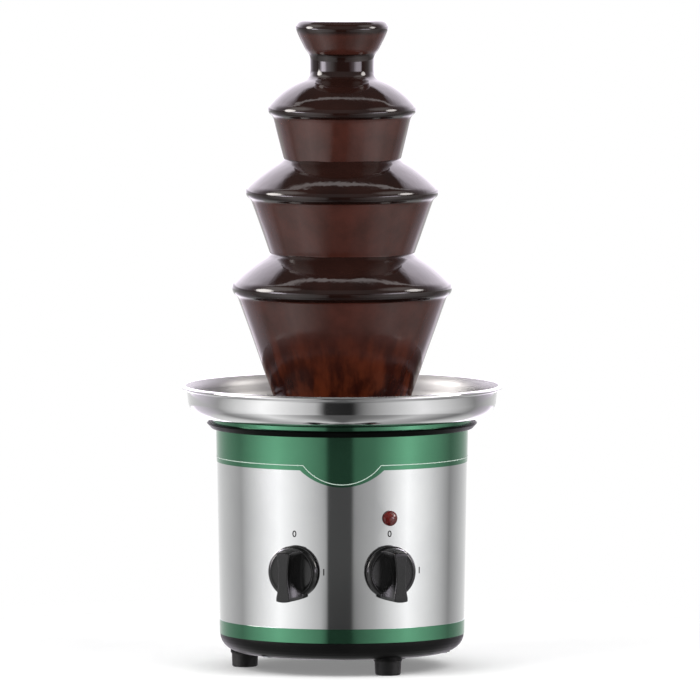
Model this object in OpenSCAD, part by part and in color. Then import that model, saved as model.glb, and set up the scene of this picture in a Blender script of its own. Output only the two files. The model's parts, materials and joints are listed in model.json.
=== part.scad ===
// Chocolate fountain: a heated bowl on a motor base, with a four stage tower.
// Z is up, the floor is at zero, and the front with the two knobs faces -Y.

/* [Base] */
// Height of the feet under the pan
foot_h = 9; // [6:0.5:12]
// Radius of a foot at its top
foot_r = 8.3; // [7:0.1:9]
// Distance of the feet from the axis
foot_place_r = 60; // [54:0.5:62]
// Height at which the pan's flat bottom lies
pan_z = 10; // [9.5:0.1:12.5]
// Radius of the pan's flat bottom
pan_flat_r = 62; // [61:0.5:66]
// Height at which the body shell starts
shell_z0 = 21.3; // [21:0.1:23]
// Height at which the body shell ends
shell_z1 = 148.2; // [147:0.1:149]
// Outer radius of the body shell at its foot
shell_r0 = 75.2; // [75:0.1:76]
// Outer radius of the body shell at its top
shell_r1 = 77.4; // [77:0.1:78]
// Thickness of the body shell
shell_t = 0.8; // [0.6:0.1:1]
// Height of the lower green band
lower_band_h = 8.7; // [6:0.1:12]
// Height of the upper green band
upper_band_h = 20.6; // [16:0.1:24]
// Width of the bulge in the middle of the upper band
bulge_w = 51.5; // [40:0.5:60]
// Depth of that bulge below the band
bulge_h = 10.2; // [6:0.1:14]

/* [Controls] */
// Angle of each knob from the front
knob_az = 22.4; // [20:0.1:26]
// Height of the knobs
knob_z = 65; // [62:0.5:72]
// Radius of a knob's skirt
knob_r = 16.2; // [14:0.1:17]
// How far a knob stands out from the shell
knob_h = 19; // [16:0.5:20]
// Width of the grip's front face
grip_w = 6; // [5:0.1:8]
// Height of the indicator lens
lens_z = 98; // [96:0.5:104]
// Radius of the indicator lens
lens_r = 4.7; // [4.6:0.1:5.6]

/* [Bowl] */
// Height of the bowl's underside
bowl_z = 155; // [155:0.1:156]
// Radius of the bowl's flat floor
bowl_flat_r = 82; // [80:0.5:84]
// Radius of the corner between floor and wall
bowl_corner = 13.5; // [12:0.5:15]
// Outer radius over the rolled rim
bowl_rim_r = 99; // [98:0.1:100]
// Height of the rolled rim's centre
bowl_rim_z = 173.1; // [172:0.1:175]
// Radius of the rolled rim
rim_roll = 1.35; // [1.2:0.05:1.6]
// Thickness of the bowl's sheet
bowl_t = 1; // [0.8:0.1:1.2]
// Height of the chocolate in the bowl
pool_h = 4; // [3:0.5:6]

/* [Tower] */
// Height of the whole fountain
total_h = 400; // [398:0.5:401]
// Outer radius of the tower tube
tube_r = 17; // [16.5:0.1:17.2]
// Wall of the tower tube
tube_t = 1.5; // [1.2:0.1:1.8]
// Thickness of the film of chocolate on a tier
film = 1; // [0.8:0.1:1.2]
// Thickness of a falling curtain
curtain_t = 1.2; // [1:0.1:1.5]
// Thickness of a tier
tier_t = 1.2; // [1:0.1:1.4]

/* [Auger] */
// Radius of the auger's flight
flight_r = 15.1; // [14.6:0.1:15.2]
// Radius of the auger's core
core_r = 6; // [5.5:0.1:7]
// Rise of the flight in one turn
flight_pitch = 22; // [16:1:28]
// Thickness of the flight
flight_t = 2; // [1.6:0.1:2.6]
// Height of the auger's top
auger_top = 372; // [360:1:374]

/* [Gears] */
// Face width of the motor pinion and of the idler's wheel
stage1_h = 6; // [5:0.5:6]
// Face width of the idler's pinion and of the output gear
stage2_h = 8; // [7:0.5:8]
// Play between the flanks of two teeth
backlash = 0.16; // [0.1:0.02:0.2]

/* [Hidden] */
$fn = 96;

steel = "#c4c6c8";
dark_steel = "#8d9194";
green = "#57906f";
black = "#202020";
rubber = "#161616";
bronze = "#b08a4a";
choco = "#3a2320";
ivory = "#d9d4c6";

run_gap = 0.05;

// Pan
pan_t = 2.4;
pan_lip_h = 8.5;
pan_lip_t = 2;
foot_az = [28, 148, -92];
foot_screw_r = 2;
rod_az = [75, 195, -45];
rod_place_r = 63;
rod_r = 2.5;
rod_z1 = 148;
vent_count = 12;

// Bands
band_t = 0.3;
upper_band_z = shell_z1 - upper_band_h;
bulge_r = (bulge_w * bulge_w / 4 + bulge_h * bulge_h) / (2 * bulge_h);
pan_r = shell_r0;
shell_slope = (shell_r1 - shell_r0) / (shell_z1 - shell_z0);

// Top of the base
ring_z1 = 152;
ring_r0 = 81.3;
ring_r1 = 83.3;
ring_lip_h = 7;
plate_r = 80;
plate_hole_r = 58;
plate_t = 2.6;

// Heating
heat_plate_r = 54;
heat_plate_h = 5;
heat_z = bowl_z - heat_plate_h;
element_ring_r = 44;
element_r = 3.25;

// Shaft and hub
shaft_r = 4;
hub_r = 7.5;
hub_h = 6;
bush_r = 5.6;
shaft_z0 = 105.2;
shaft_z1 = 180;
flat_z = 168;
flat_depth = 1;
bowl_floor = bowl_z + bowl_t;

// Gearbox: two stages of involute gears, wheel to pinion
gear_m = 1;
wheel_teeth = 36;
pinion_teeth = 14;
pressure = 25;
bracket_z = 118;
bracket_t = 2;
bracket_r = 46;
bush_z0 = bracket_z - 3;
bush_h = 13;
standoff_place_r = 34;
case_z = 94;
case_wall = 2;
case_in_r = 20.5;
gear_d = gear_m * (wheel_teeth + pinion_teeth) / 2;
stage1_z = 98;
stage2_z = 106;
pin_r = 1.5;
motor_r = 19;
motor_z = 46;

// Switches, measured outwards from the axis at the knob's height
panel_r = shell_r0 + (knob_z - shell_z0) * shell_slope;
knob_back = panel_r + 0.6;
knob_front = panel_r + knob_h;
switch_bush_r = 4.5;
spindle_r = 3;
nut_h = 2.2;
lens_panel_r = shell_r0 + (lens_z - shell_z0) * shell_slope;
gland_z = 39;
gland_panel_r = shell_r0 + (gland_z - shell_z0) * shell_slope;
gland_hole_r = 6;
gland_bore_r = 3.4;

// Tower stages, as the top of the film: neck end and rim end of the dome's arc, how far the
// arc stands out from its chord, the bead at the rim and where the curtain lands.
// Each is [neck, rim, bulge, bead centre, bead radius, curtain start, curtain end].
upper = [[18, 364.5], [43.9, 347.2], 1.5, [42.3, 344.4], 3.2, [44.3, 344.4], [35.7, 311.9]];
middle = [[18, 320], [57.9, 296.6], 2.6, [55.9, 293.8], 3.4, [57.8, 293.8], [43.9, 254.4]];
lower = [[18, 263.5], [66.6, 238.4], 4.7, [64.1, 235.9], 3.5, [66.9, 235.3], [39.8, 160.3]];
neck_r = 19.4;
crown_bead = [26.2, 394.6];
crown_bead_r = 2.7;
crown_fill_z = 388;
sleeve_gap = 0.1;
sleeve_r = tube_r + 1.8;
shoulder_z = 198;
shoulder_h = 3;
tube_z1 = 384;
slot_w = 14;
slot_h = 10;

// Turns a piece so that its own Z points out of the shell at this angle and height.
module at_panel(az, z) { translate([0, 0, z]) rotate([0, 0, az]) rotate([90, 0, 0]) children(); }

// Puts a copy at each angle from the front, at one distance from the axis.
module round_about(angles, r) { for (az = angles) rotate([0, 0, az]) translate([0, -r, 0]) children(); }

module tube(r, inner_r, h) {
  difference() {
    cylinder(r = r, h = h);
    translate([0, 0, -1]) cylinder(r = inner_r, h = h + 2);
  }
}

// Points on a circle's arc.
function arc(centre, r, a0, a1, n) = [for (i = [0:n])
  let (a = a0 + (a1 - a0) * i / n) [centre[0] + r * cos(a), centre[1] + r * sin(a)]];

// Centre and radius of the arc that stands out from a chord by a bulge.
function chord_len(p, q) = norm(q - p);
function arc_r(p, q, bulge) = (chord_len(p, q) ^ 2 / 4 + bulge ^ 2) / (2 * bulge);
function arc_centre(p, q, bulge) =
  let (d = (q - p) / chord_len(p, q), out = [-d[1], d[0]])
  (p + q) / 2 - out * (arc_r(p, q, bulge) - bulge);
function angle_to(centre, p) = atan2(p[1] - centre[1], p[0] - centre[0]);

// Outer line of the pan's rounded lower edge.
function pan_edge(inset) = [for (i = [0:8])
  let (a = -90 + 90 * i / 8)
  [pan_flat_r + (pan_r - pan_flat_r - inset) * cos(a), shell_z0 + (shell_z0 - pan_z - inset) * sin(a)]];

module base_pan() {
  lip_r = shell_r0 - shell_t - 0.1;
  color(black) difference() {
    union() {
      rotate_extrude() polygon(concat([[0, pan_z]], pan_edge(0),
        [[lip_r, shell_z0], [lip_r, shell_z0 + pan_lip_h], [lip_r - pan_lip_t, shell_z0 + pan_lip_h],
         [lip_r - pan_lip_t, shell_z0]],
        [for (i = [8:-1:0]) pan_edge(pan_t)[i]], [[0, pan_z + pan_t]]));
      round_about(foot_az, foot_place_r) translate([0, 0, foot_h]) cylinder(r = foot_r + 0.6, h = 6);
      round_about(rod_az, rod_place_r) translate([0, 0, pan_z + 1]) cylinder(r = rod_r + 3, h = 12);
    }
    round_about(foot_az, foot_place_r) cylinder(r = foot_screw_r, h = 40);
    round_about(rod_az, rod_place_r) cylinder(r = rod_r, h = 40);
    round_about(rod_az, rod_place_r) translate([0, 0, pan_z - 1]) cylinder(r = 4, h = 2.6);
    round_about([for (i = [0:vent_count - 1]) i * 360 / vent_count], 34)
      translate([0, 0, pan_z - 1]) linear_extrude(pan_t + 2) union() {
        square([3, 14], center = true);
        translate([0, 7]) circle(r = 1.5);
        translate([0, -7]) circle(r = 1.5);
      }
  }
}

// The shell's tapered wall, moved in or out.
module shell_wall(r_in, r_out, z0, z1) {
  rotate_extrude() polygon([for (p = [[r_in, z0], [r_out, z0], [r_out, z1], [r_in, z1]])
    [shell_r0 + (p[1] - shell_z0) * shell_slope + p[0], p[1]]]);
}

module body_shell() {
  color(steel) difference() {
    shell_wall(-shell_t, 0, shell_z0, shell_z1);
    for (side = [-1, 1]) at_panel(side * knob_az, knob_z)
      translate([0, 0, 40]) cylinder(r = switch_bush_r, h = 60);
    at_panel(knob_az, lens_z) translate([0, 0, 40]) cylinder(r = lens_r - 0.8, h = 60);
    at_panel(180, gland_z) translate([0, 0, 40]) cylinder(r = gland_hole_r, h = 60);
  }
}

module lower_band() {
  color(green) shell_wall(0, band_t, shell_z0, shell_z0 + lower_band_h);
}

module upper_band() {
  color(green) intersection() {
    shell_wall(0, band_t, upper_band_z - bulge_h - 1, shell_z1);
    union() {
      translate([0, 0, upper_band_z]) cylinder(r = 100, h = 60);
      translate([0, 0, upper_band_z - bulge_h + bulge_r]) rotate([90, 0, 0]) cylinder(r = bulge_r, h = 100);
    }
  }
}

module trim_ring() {
  lip_out = shell_r1 - shell_t - 0.2;
  color(black) rotate_extrude() polygon([[lip_out - 2.2, shell_z1 - ring_lip_h],
    [lip_out, shell_z1 - ring_lip_h], [lip_out, shell_z1], [ring_r0 - 0.8, shell_z1],
    [ring_r0, shell_z1 + 0.8], [ring_r1, ring_z1 - 0.8], [ring_r1 - 0.8, ring_z1],
    [lip_out - 2.2, ring_z1]]);
}

module top_plate() {
  color(green) difference() {
    union() {
      rotate_extrude() polygon([[plate_hole_r, heat_z - 4], [plate_hole_r + 2, heat_z - 4],
        [plate_hole_r + 2, bowl_z - plate_t], [plate_r - 2, bowl_z - plate_t], [plate_r - 2, ring_z1],
        [plate_r, ring_z1], [plate_r, bowl_z - 0.6], [plate_r - 0.6, bowl_z], [plate_hole_r, bowl_z]]);
      round_about(rod_az, rod_place_r) translate([0, 0, rod_z1 - 8]) cylinder(r = rod_r + 2.6, h = 13);
      round_about([for (i = [0:11]) 15 + i * 30], 67.8) translate([0, 0, bowl_z - plate_t - 2])
        linear_extrude(3) square([1.4, 12], center = true);
    }
    round_about(rod_az, rod_place_r) cylinder(r = rod_r, h = rod_z1);
  }
}

// One side of the bowl's sheet, as a line from the axis to the rim.
function bowl_line(inset) =
  concat(arc([bowl_flat_r, bowl_z + bowl_corner], bowl_corner - inset, -90, -8, 10),
    [[bowl_rim_r - rim_roll - 0.2 - inset, bowl_rim_z]]);

module bowl() {
  inner = bowl_line(bowl_t);
  color(steel) difference() {
    union() {
      rotate_extrude() union() {
        polygon(concat([[0, bowl_z]], bowl_line(0), [for (i = [len(inner) - 1:-1:0]) inner[i]],
          [[0, bowl_floor]]));
        translate([bowl_rim_r - rim_roll, bowl_rim_z]) circle(r = rim_roll);
      }
      translate([0, 0, bowl_z]) cylinder(r = hub_r, h = bowl_t + hub_h);
    }
    translate([0, 0, bowl_z - 1]) cylinder(r = bush_r, h = 20);
  }
}

module hub_bush() {
  color(bronze) translate([0, 0, heat_z - 2]) union() {
    tube(bush_r, shaft_r + run_gap, bowl_floor + hub_h - 2.6 - heat_z + 2);
    tube(bush_r + 1.8, shaft_r + run_gap, 2);
  }
}

module shaft_seal() {
  color(rubber) translate([0, 0, bowl_floor + hub_h - 2.6]) union() {
    tube(bush_r, shaft_r + run_gap, 2.6);
    translate([0, 0, 2.6]) difference() {
      cylinder(r1 = bush_r, r2 = shaft_r + 0.6, h = 1);
      translate([0, 0, -1]) cylinder(r = shaft_r + run_gap, h = 3);
    }
  }
}

module element_path(r) {
  rotate_extrude(angle = 326, start = -73) translate([element_ring_r, 0]) circle(r = r);
}

module heat_plate() {
  color("#a9acad") difference() {
    translate([0, 0, heat_z]) cylinder(r = heat_plate_r, h = heat_plate_h);
    translate([0, 0, heat_z - 1]) cylinder(r = bush_r, h = 10);
    translate([0, 0, heat_z]) element_path(element_r);
  }
}

// A tubular heater bent into a ring, with its two cold ends turned down.
module heating_element() {
  color("#5d5a57") translate([0, 0, heat_z]) {
    element_path(element_r);
    for (a = [-71, 251]) rotate([0, 0, a]) translate([element_ring_r, 0, -14]) {
      cylinder(r = element_r + 0.8, h = 14);
      translate([0, 0, -7]) cylinder(r = 1, h = 8);
    }
  }
}

module thermostat() {
  color(ivory) translate([-19, -13, heat_z]) {
    translate([0, 0, -1]) cylinder(r = 8.5, h = 1);
    translate([0, 0, -8]) cylinder(r = 7.6, h = 7);
    for (side = [-1, 1]) {
      translate([side * 4 - 0.4, -3, -15]) cube([0.8, 6, 7]);
      translate([side * 9.4 - 2.4, -4, -1]) cube([4.8, 8, 1]);
    }
  }
}

module thermal_fuse() {
  color(ivory) translate([20, -16, heat_z - 2.2]) {
    translate([-7, 0, 0]) rotate([0, 90, 0]) cylinder(r = 2.2, h = 14);
    translate([-11, 0, 0]) rotate([0, 90, 0]) cylinder(r = 0.6, h = 22);
    translate([-2, -7, 0]) difference() {
      translate([0, 0, -2.7]) cube([4, 14, 4.9]);
      translate([-1, -1, -3.2]) cube([6, 5.3, 4.7]);
      translate([-1, 9.7, -3.2]) cube([6, 5.3, 4.7]);
    }
  }
}

// Angles of the three standoffs, which the bracket and the heat plate share.
standoff_az = [0, 120, 240];

module standoffs() {
  color(dark_steel) round_about(standoff_az, standoff_place_r)
    translate([0, 0, bracket_z + bracket_t]) cylinder(r = 3.6, h = heat_z - bracket_z - bracket_t, $fn = 6);
}

module motor_bracket() {
  color(dark_steel) translate([0, 0, bracket_z]) difference() {
    cylinder(r = bracket_r, h = bracket_t);
    translate([0, 0, -1]) cylinder(r = 7, h = 10);
    translate([0, gear_d, -1]) cylinder(r = pin_r, h = 10);
    for (a = [200, 250, 290, 340]) rotate([0, 0, a]) translate([33, 0, -1]) linear_extrude(10) union() {
      square([14, 8], center = true);
      translate([7, 0]) circle(r = 4);
      translate([-7, 0]) circle(r = 4);
    }
  }
}

module output_bush() {
  color(bronze) translate([0, 0, bush_z0]) {
    tube(7, shaft_r + run_gap, bush_h);
    translate([0, 0, bracket_z + bracket_t - bush_z0]) tube(9.5, shaft_r + run_gap, 2);
  }
}

// The case's outline: two round ends, one over each gear axis.
module case_outline(r) {
  circle(r = r);
  translate([0, gear_d]) circle(r = r);
  translate([-r, 0]) square([2 * r, gear_d]);
}

module gearbox_case() {
  height = bracket_z - case_z;
  color(ivory) difference() {
    translate([0, 0, case_z]) union() {
      linear_extrude(height) case_outline(case_in_r + case_wall);
      for (x = [-1, 1], y = [0, gear_d]) translate([x * (case_in_r + 4), y, height - 8])
        cylinder(r = 3.5, h = 8);
    }
    translate([0, 0, case_z + 2.5]) linear_extrude(height) case_outline(case_in_r);
    translate([0, 0, case_z - 1]) cylinder(r = 4.5, h = 10);
    translate([0, gear_d, case_z - 1]) cylinder(r = pin_r, h = 10);
    for (x = [-1, 1], y = [0, gear_d])
      translate([x * (case_in_r + 4.4), y, bracket_z - 10]) cylinder(r = 1.2, h = 20);
  }
}

module idler_pin() {
  color(steel) translate([0, gear_d, case_z]) cylinder(r = pin_r, h = bracket_z + bracket_t - case_z);
}

module motor_can() {
  top = case_z;
  color(dark_steel) difference() {
    union() {
      translate([0, 0, motor_z]) cylinder(r = motor_r, h = top - motor_z);
      translate([0, 0, motor_z - 3]) cylinder(r = 5, h = 4);
      translate([0, 0, top - 1]) cylinder(r = 4.5, h = 3);
    }
    translate([0, 0, motor_z + 10]) cylinder(r = 9.6, h = 30);
    translate([0, 0, motor_z - 4]) cylinder(r = pin_r + run_gap, h = 60);
    for (i = [0:5]) rotate([0, 0, 60 * i]) translate([13.5, 0, motor_z - 1]) cylinder(r = 2, h = 4);
  }
}

module tie_rods() {
  color(steel) round_about(rod_az, rod_place_r) translate([0, 0, pan_z + 1.6])
    cylinder(r = rod_r, h = rod_z1 - pan_z - 1.6);
}

module case_screws() {
  color(dark_steel) round_about(rod_az, rod_place_r)
    translate([0, 0, pan_z + 0.2]) cylinder(r = 3.9, h = 1.4);
}

module terminal_block() {
  color(ivory) translate([-42, 6, pan_z + pan_t]) difference() {
    union() {
      cube([16, 30, 4]);
      translate([3, 0, 0]) cube([10, 30, 12]);
    }
    for (i = [0:2]) translate([8, 5 + 10 * i, 5]) {
      cylinder(r = 1.8, h = 10);
      translate([-6, 0, 2]) rotate([0, 90, 0]) cylinder(r = 1.4, h = 12);
    }
    for (i = [0, 1]) translate([2, 10 + 10 * i, 7]) cube([12, 1.2, 6]);
  }
}

// The bush in the shell that a mains cord would pass through.
module cord_gland() {
  color(black) at_panel(180, gland_z) difference() {
    union() {
      translate([0, 0, gland_panel_r - 12]) cylinder(r = gland_hole_r, h = 13);
      translate([0, 0, gland_panel_r + 0.1]) cylinder(r = gland_hole_r + 2.4, h = 2.4);
      translate([0, 0, gland_panel_r + 2.5]) cylinder(r = gland_hole_r + 0.6, h = 2.5);
      translate([0, 0, gland_panel_r - 12]) cylinder(r = gland_hole_r + 1.6, h = 9.6);
    }
    translate([0, 0, 40]) cylinder(r = gland_bore_r, h = 60);
  }
}

// A rotary switch behind the shell, with its bush through the hole.
module rotary_switch(az) {
  color("#2b2b2b") at_panel(az, knob_z) difference() {
    union() {
      translate([-13, -14, panel_r - 22]) cube([26, 28, 15]);
      translate([0, 0, panel_r - 7]) cylinder(r = 9, h = 5.4);
      cylinder_to(switch_bush_r, panel_r - 7, knob_back + 1.6);
      for (x = [-7, 0, 7]) translate([x - 0.4, -3, panel_r - 28]) cube([0.8, 6, 7]);
    }
    cylinder_to(spindle_r + run_gap, panel_r - 19, panel_r + 20);
  }
}

module cylinder_to(r, z0, z1) { translate([0, 0, z0]) cylinder(r = r, h = z1 - z0); }

module motor_switch() { rotary_switch(-knob_az); }
module heat_switch() { rotary_switch(knob_az); }

module switch_nuts() {
  color(steel) difference() {
    for (side = [-1, 1]) at_panel(side * knob_az, knob_z) translate([0, 0, panel_r]) difference() {
      cylinder(r = 7, h = nut_h, $fn = 6);
      translate([0, 0, -1]) cylinder(r = switch_bush_r, h = 9);
    }
    shell_wall(-shell_t, 0, shell_z0, shell_z1);
  }
}

module indicator_holder() {
  color(black) at_panel(knob_az, lens_z) difference() {
    union() {
      cylinder_to(lens_r - 0.8, lens_panel_r - 20, lens_panel_r + 0.1);
      cylinder_to(lens_r + 1.6, lens_panel_r - 4.4, lens_panel_r - 1.4);
      for (x = [-2, 2]) translate([x - 0.3, -1.4, lens_panel_r - 26]) cube([0.6, 2.8, 7]);
    }
    cylinder_to(lens_r - 1.8, lens_panel_r - 14, lens_panel_r + 2);
  }
}

module indicator_lens() {
  color("#a02820") at_panel(knob_az, lens_z) {
    cylinder_to(lens_r, lens_panel_r + 0.1, lens_panel_r + 1.1);
    cylinder_to(lens_r - 1.8, lens_panel_r - 6, lens_panel_r + 0.2);
    translate([0, 0, lens_panel_r + 1.1]) intersection() {
      translate([0, 0, -4.5]) sphere(r = 6.6);
      cylinder(r = lens_r - 0.3, h = 10);
    }
  }
}

module foot(az) {
  color(rubber) round_about([az], foot_place_r) rotate_extrude() polygon([[foot_screw_r, 3],
    [4.2, 3], [4.2, 0], [foot_r - 1.5, 0], [foot_r - 0.7, 0.3], [foot_r - 0.4, 1],
    [foot_r - 0.1, foot_h - 1], [foot_r + 0.4, foot_h], [foot_screw_r, foot_h]]);
}

module foot_front() { foot(foot_az[0]); }
module foot_left() { foot(foot_az[2]); }
module foot_rear() { foot(foot_az[1]); }

module foot_screws() {
  color(steel) round_about(foot_az, foot_place_r) translate([0, 0, 1]) difference() {
    union() {
      cylinder(r = 3.8, h = 2);
      cylinder(r = foot_screw_r, h = 15);
    }
    translate([-3, -0.4, -1]) cube([6, 0.8, 1.9]);
  }
}

module chocolate_pool() {
  color(choco) rotate_extrude() intersection() {
    polygon(concat([[21, bowl_floor]], bowl_line(bowl_t), [[21, bowl_rim_z]]));
    translate([0, bowl_floor - 1]) square([120, 1 + pool_h]);
  }
}

// One side of a tooth from root to tip, as [radius, half angle of the tooth there].
function involute(a) = tan(a) * 180 / PI - a;
function flank(teeth, tip, i, n) =
  let (rp = gear_m * teeth / 2, rb = rp * cos(pressure), root = rp - 1.25 * gear_m,
    start = max(rb, root), r = start + (tip - start) * i / n,
    half = 90 / teeth - backlash / 2 / rp * 180 / PI / 2)
  [r, half + involute(pressure) - involute(acos(rb / r))];

module gear_outline(teeth) {
  steps = 4;
  rp = gear_m * teeth / 2;
  tip = rp + 0.96 * gear_m;
  root = rp - 1.25 * gear_m;
  polygon([for (t = [0:teeth - 1], side = [-1, 1], i = [0:steps + 1])
    let (k = side < 0 ? i : steps + 1 - i,
      f = k == 0 ? [root, flank(teeth, tip, 0, steps)[1]] : flank(teeth, tip, k - 1, steps),
      a = 360 * t / teeth + side * f[1])
    [f[0] * cos(a), f[0] * sin(a)]]);
}

module spur_gear(teeth, h, turn) {
  rotate([0, 0, turn]) linear_extrude(h) gear_outline(teeth);
}

// Turn that puts a tooth of one gear, or a gap of the next, on the line between their axes.
tooth_up = 90;
function gap_down(teeth) = 270 + 180 / teeth;

module output_gear() {
  color(ivory) translate([0, 0, stage2_z]) difference() {
    union() {
      spur_gear(wheel_teeth, stage2_h, tooth_up);
      cylinder(r = 7, h = stage2_h + 0.8);
    }
    translate([0, 0, -1]) cylinder(r = shaft_r, h = 20);
    for (i = [0:5]) rotate([0, 0, 30 + 60 * i]) translate([11.3, 0, -1]) cylinder(r = 2.8, h = 20);
  }
}

module drive_shaft() {
  color(steel) difference() {
    translate([0, 0, shaft_z0]) cylinder(r = shaft_r, h = shaft_z1 - shaft_z0);
    translate([shaft_r - flat_depth, -10, flat_z]) cube([10, 20, 20]);
  }
}

module shaft_collar() {
  color(dark_steel) translate([0, 0, bush_z0 + bush_h + 0.1]) tube(7, shaft_r, 4);
}

module idler_gear() {
  color(ivory) translate([0, gear_d, 0]) difference() {
    union() {
      translate([0, 0, stage1_z]) spur_gear(wheel_teeth, stage1_h, gap_down(wheel_teeth));
      translate([0, 0, stage1_z])
        spur_gear(pinion_teeth, stage2_z + stage2_h - stage1_z, gap_down(pinion_teeth));
      translate([0, 0, case_z + 2.6]) cylinder(r = 3.4, h = bracket_z - case_z - 2.7);
    }
    translate([0, 0, case_z]) cylinder(r = pin_r + run_gap, h = 40);
  }
}

module rotor() {
  color(dark_steel) {
    translate([0, 0, motor_z - 2]) cylinder(r = pin_r, h = shaft_z0 - 0.4 - motor_z + 2);
    translate([0, 0, motor_z + 14]) cylinder(r = 9, h = 22);
  }
}

module motor_pinion() {
  color(bronze) translate([0, 0, stage1_z]) difference() {
    spur_gear(pinion_teeth, stage1_h + 0.4, tooth_up);
    translate([0, 0, -1]) cylinder(r = pin_r, h = 20);
  }
}

// A switch's turning spindle, flattened on one side where the knob sits on it.
module spindle(az) {
  color(bronze) at_panel(az, knob_z) difference() {
    cylinder_to(spindle_r, panel_r - 18.4, knob_front - 5);
    translate([-5, spindle_r - 0.8, knob_back + 5]) cube([10, 5, 20]);
  }
}

// Half section of the grip between its ends: wide at the skirt and drawn in to its front face.
grip_base = knob_back + 4.6;
grip_end_w = 4.4;
grip_flare = 3.2;
grip_tail = 1.2;
grip_waist_r = 75;
grip_waist = [for (i = [0:6])
  [grip_waist_r - grip_flare * (1 - i / 6) ^ 1.7, grip_base - 1 + (knob_front + 1.5 - grip_base) * i / 6]];

// A rectangle from y0 to y1 with round corners.
function rounded(w, y0, y1, r) = [for (c = [[1, y1, 0], [-1, y1, 90], [-1, y0, 180], [1, y0, 270]])
  each arc([c[0] * (w - r), c[1] + (c[1] == y1 ? -r : r)], r, c[2], c[2] + 90, 4)];

// The grip: a bar with round ends, its flanks hollowed by two great rollers.
module grip() {
  difference() {
    intersection() {
      translate([0, 0, grip_base - 1]) linear_extrude(knob_front + 1 - grip_base)
        polygon(rounded(grip_end_w + grip_flare, -knob_r - grip_tail, knob_r - 1, 3));
      union() {
        cylinder_to(knob_r - 1, grip_base - 2, knob_front + 1);
        translate([-20, -knob_r - grip_tail - 1, grip_base - 2]) cube([40, knob_r, 30]);
      }
    }
    for (side = [-1, 1]) translate([side * (grip_waist_r + grip_w / 2), 0, 0]) rotate_extrude()
      polygon(concat([[0, grip_base - 1]], grip_waist, [[0, knob_front + 0.5]]));
  }
}

module knob(az) {
  color(black) at_panel(az, knob_z) difference() {
    union() {
      rotate_extrude() polygon([[0, knob_back], [knob_r, knob_back], [knob_r, knob_back + 3.2],
        [knob_r - 0.5, knob_back + 4.2], [knob_r - 1.6, knob_back + 4.6], [knob_r - 3.6, knob_back + 4.8],
        [0, knob_back + 5.2]]);
      grip();
    }
    cylinder_to(9.5, knob_back - 1, knob_back + 2.4);
    difference() {
      cylinder_to(spindle_r, knob_back, knob_front - 5);
      translate([-5, spindle_r - 0.8, knob_back + 5]) cube([10, 5, 20]);
    }
  }
}

module motor_spindle() { spindle(-knob_az); }
module heat_spindle() { spindle(knob_az); }
module motor_knob() { knob(-knob_az); }
module heat_knob() { knob(knob_az); }

// A helical flight: rings of four corners, each a step further round and up, joined by faces.
flight_z0 = bowl_floor + 1.5;
flight_steps = 24;
module flight() {
  turns = (auger_top - 3 - flight_t - flight_z0) / flight_pitch;
  n = round(turns * flight_steps);
  corners = [[core_r - 1.5, 0], [flight_r, 0.5], [flight_r, flight_t - 0.1], [core_r - 1.5, flight_t + 0.6]];
  points = [for (i = [0:n], c = corners) let (a = 360 * i / flight_steps)
    [c[0] * cos(a), c[0] * sin(a), flight_z0 + c[1] + flight_pitch * i / flight_steps]];
  sides = [for (i = [0:n - 1], k = [0:3]) let (a = 4 * i + k, b = 4 * i + (k + 1) % 4)
    each [[a, b, b + 4], [a, b + 4, a + 4]]];
  polyhedron(points, concat([[3, 2, 1], [3, 1, 0]], sides, [[4 * n, 4 * n + 1, 4 * n + 2],
    [4 * n, 4 * n + 2, 4 * n + 3]]));
}

// Spiral pump: a flight on a core whose bell clears the bowl's hub and sits on the shaft's end.
bell_r = 10.6;
module auger() {
  color(ivory) difference() {
    union() {
      rotate_extrude() polygon([[0, flight_z0], [bell_r, flight_z0], [bell_r, shaft_z1 - 12],
        [core_r, shaft_z1 + 2], [core_r, auger_top - 4], [core_r - 2.5, auger_top], [0, auger_top]]);
      flight();
    }
    translate([0, 0, flight_z0 - 1]) cylinder(r = hub_r + 0.6, h = bowl_floor + hub_h + 2.8 - flight_z0);
    difference() {
      translate([0, 0, flight_z0]) cylinder(r = shaft_r + run_gap, h = shaft_z1 - flight_z0);
      translate([shaft_r - flat_depth + run_gap, -10, flat_z + 0.5]) cube([10, 20, 20]);
    }
  }
}

module tower_tube() {
  color(steel) difference() {
    union() {
      translate([0, 0, bowl_floor]) cylinder(r = tube_r, h = tube_z1 - bowl_floor);
      translate([0, 0, shoulder_z]) cylinder(r = sleeve_r, h = shoulder_h);
    }
    translate([0, 0, bowl_floor - 1]) cylinder(r = tube_r - tube_t, h = 300);
    for (a = [0, 90]) rotate([0, 0, a]) translate([-50, -slot_w / 2, bowl_floor - 1])
      cube([100, slot_w, slot_h + 1 - 2]);
    for (a = [0, 90]) rotate([0, 0, a]) translate([-50, 0, bowl_floor + slot_h - 2]) intersection() {
      rotate([0, 90, 0]) cylinder(r = slot_w / 2, h = 100);
      translate([0, -slot_w / 2, -1]) cube([100, slot_w, 4]);
    }
  }
}

// A tier is its sleeve and its dome, which follows the film's arc from below.
function film_centre(s) = arc_centre(s[0], s[1], s[2]);
function film_r(s) = arc_r(s[0], s[1], s[2]);
function band(s, top, under, n) = let (c = film_centre(s), a0 = angle_to(c, s[0]), a1 = angle_to(c, s[1]))
  concat(arc(c, film_r(s) - top, a0, a1, n), arc(c, film_r(s) - under, a1, a0, n));

// Each outline here is turned by itself, and the turned solids are joined.
module turned(points) { rotate_extrude() polygon(points); }
module bead(centre, r) { rotate_extrude() translate(centre) circle(r = r); }

module dome(s) {
  turned(band(s, film, film + tier_t, 12));
  bead(s[3], s[4] - film);
}

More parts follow.
